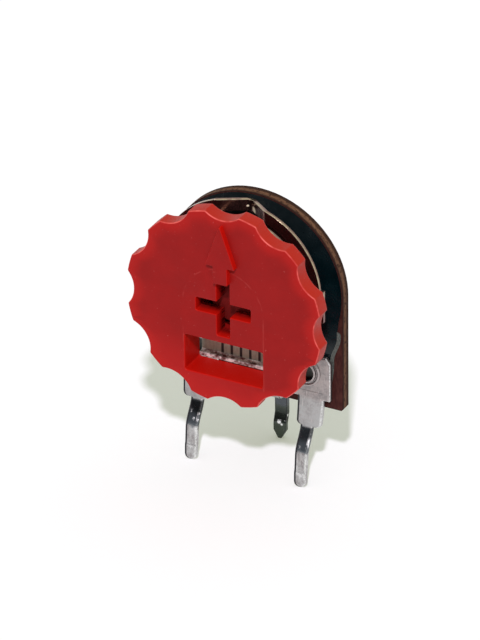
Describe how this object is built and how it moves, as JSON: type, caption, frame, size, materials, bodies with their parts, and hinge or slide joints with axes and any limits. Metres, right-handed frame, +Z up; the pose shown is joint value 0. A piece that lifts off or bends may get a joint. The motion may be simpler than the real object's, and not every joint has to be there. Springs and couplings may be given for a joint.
{
  "type": "trimmer potentiometer",
  "caption": "Open-frame carbon trimmer with a fluted red thumb knob, cross slot, window and arrow, on a round-topped board with solder pins.",
  "frame": {"origin": "bottom centre of the bounding box, at the level of the solder pins' tips, on the part's mid-plane", "axes": "+Z up from the pin tips through the board, +Y from the knob towards the board's back, +X to the right seen from the knob's side"},
  "size_m": [0.0174, 0.011, 0.0259],
  "materials": {
    "phenolic_board": "satin, red-brown paper laminate",
    "carbon_track": "glossy printed carbon",
    "silver_print": "satin silver print",
    "tinned_sheet": "dull tin plate",
    "tinned_eyelet": "tin plate",
    "rivet_metal": "nickel plate",
    "spring_sheet": "polished nickel silver",
    "red_plastic": "satin moulded plastic"
  },
  "bodies": {
    "base": {"base_board": "phenolic_board", "resistive_track": "carbon_track", "end_pad_left": "silver_print", "end_pad_right": "silver_print", "terminal_left": "tinned_sheet", "terminal_right": "tinned_sheet", "eyelet_left": "tinned_eyelet", "eyelet_right": "tinned_eyelet", "wiper_terminal": "tinned_sheet", "pivot_rivet": "rivet_metal"},
    "rotor": {"wiper_plate": "spring_sheet", "knob": "red_plastic"}
  },
  "joints": [
    {"name": "knob_turn", "type": "hinge", "parent": "base", "child": "rotor", "pos_m": [0, -0.00502, 0.01718], "axis": [0, 1, 0], "range_deg": [-125, 125]}
  ]
}
